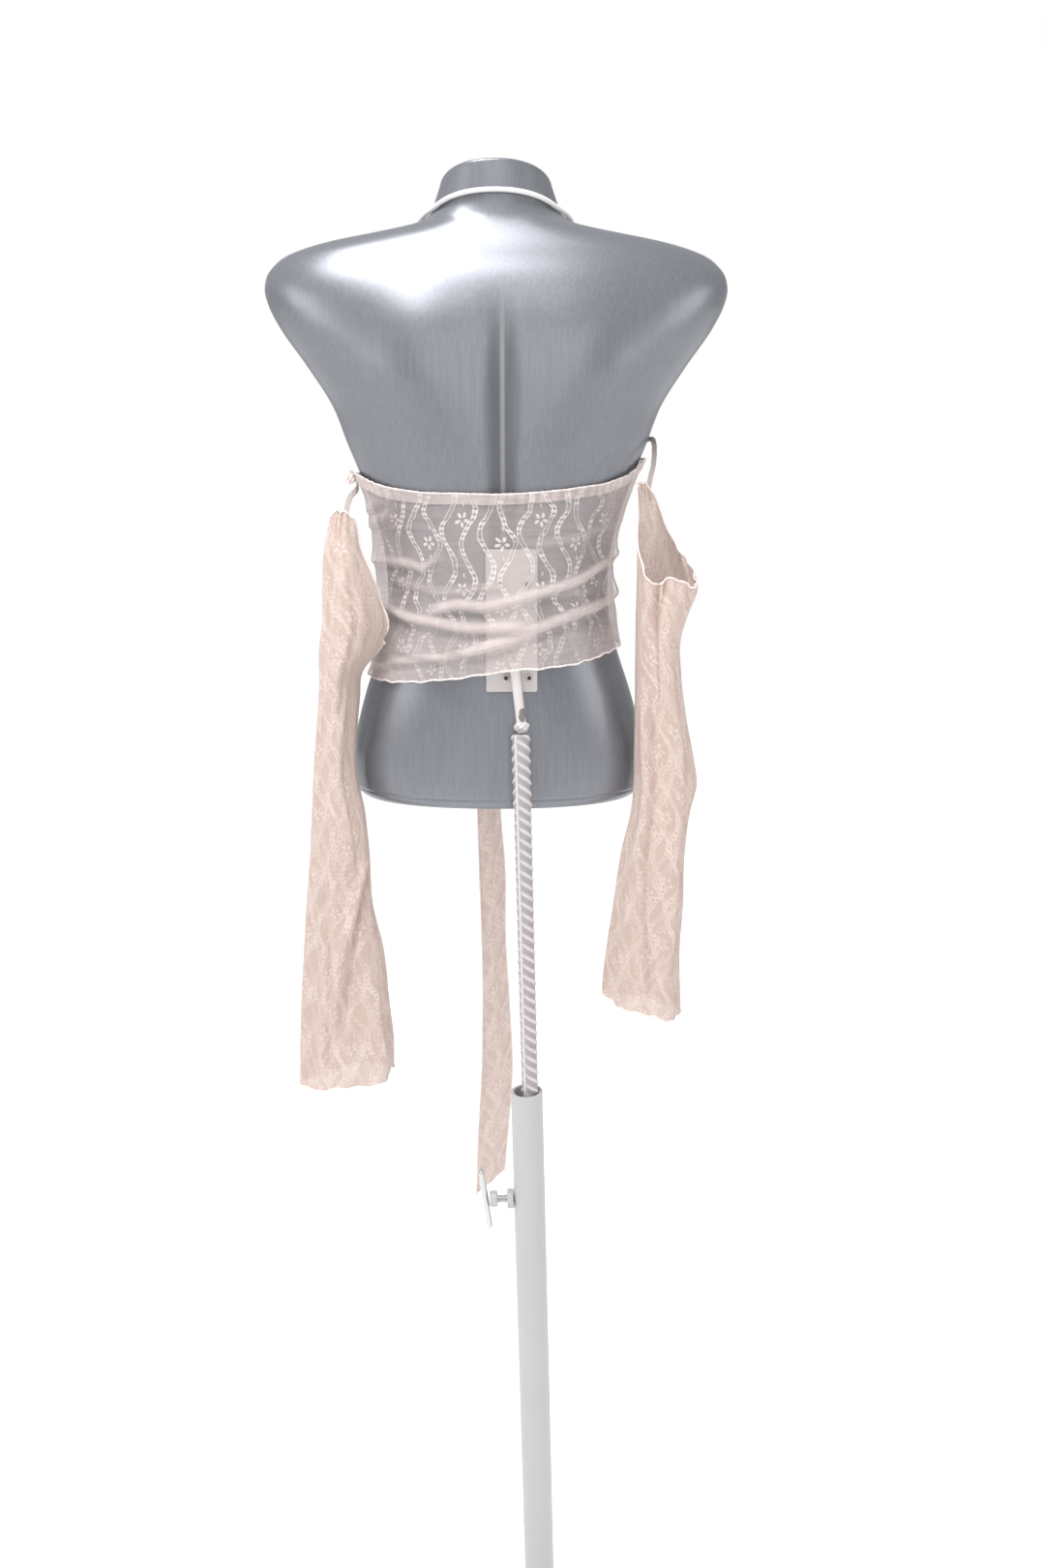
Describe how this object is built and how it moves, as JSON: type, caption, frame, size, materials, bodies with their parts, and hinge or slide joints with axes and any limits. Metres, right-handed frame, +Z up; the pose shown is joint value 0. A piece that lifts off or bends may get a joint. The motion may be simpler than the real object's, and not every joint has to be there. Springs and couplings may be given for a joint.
{
  "type": "lace halter blouse on a limbless dress form with stand",
  "caption": "Lace halter blouse with a low back panel, separate flared sleeves and a long front tie, worn by a limbless dress form on a clamped height-adjustable stand.",
  "frame": {"origin": "centre of the round base's flat underside", "axes": "+Z up; the wearer's back faces -Y and the wearer's right side is +X"},
  "size_m": [0.4238, 0.3871, 1.5638],
  "materials": {
    "lace": "sheer pale pink lace knit with a fine net ground",
    "elastic": "white covered elastic",
    "form_plastic": "satin silver-grey moulded plastic with fine upright streaks",
    "painted_steel": "off-white paint, chipped at edges",
    "rod_paint": "off-white paint over rolled ribs",
    "zinc": "zinc-plated steel"
  },
  "bodies": {
    "stand": {"stand_base": "painted_steel", "stand_tube": "painted_steel", "clamp_nut": "painted_steel"},
    "pole": {"ribbed_rod": "rod_paint"},
    "form": {"form_torso": "form_plastic", "bracket_plate": "painted_steel", "bracket_pipe": "painted_steel", "plate_screw_1": "zinc", "plate_screw_2": "zinc", "plate_screw_3": "zinc", "plate_screw_4": "zinc", "front_panel": "lace", "back_panel": "lace", "back_top_band": "lace", "left_sleeve": "lace", "right_sleeve": "lace", "left_strap": "elastic", "right_strap": "elastic", "front_tie": "lace", "neck_cord": "elastic"},
    "clamp": {"clamp_screw": "zinc", "clamp_bar": "zinc"}
  },
  "joints": [
    {"name": "height_slide", "type": "slide", "parent": "stand", "child": "pole", "axis": [-0.0253, 0, 0.9997], "range_m": [-0.25, 0.12]},
    {"name": "form_swivel", "type": "hinge", "parent": "pole", "child": "form", "pos_m": [-0.02441, 0, 1.08673], "axis": [-0.0253, 0, 0.9997], "continuous": true},
    {"name": "clamp_turn", "type": "hinge", "parent": "stand", "child": "clamp", "pos_m": [-0.04606, 0, 0.63404], "axis": [-0.9997, 0, -0.0253], "range_deg": [0, 450]}
  ]
}
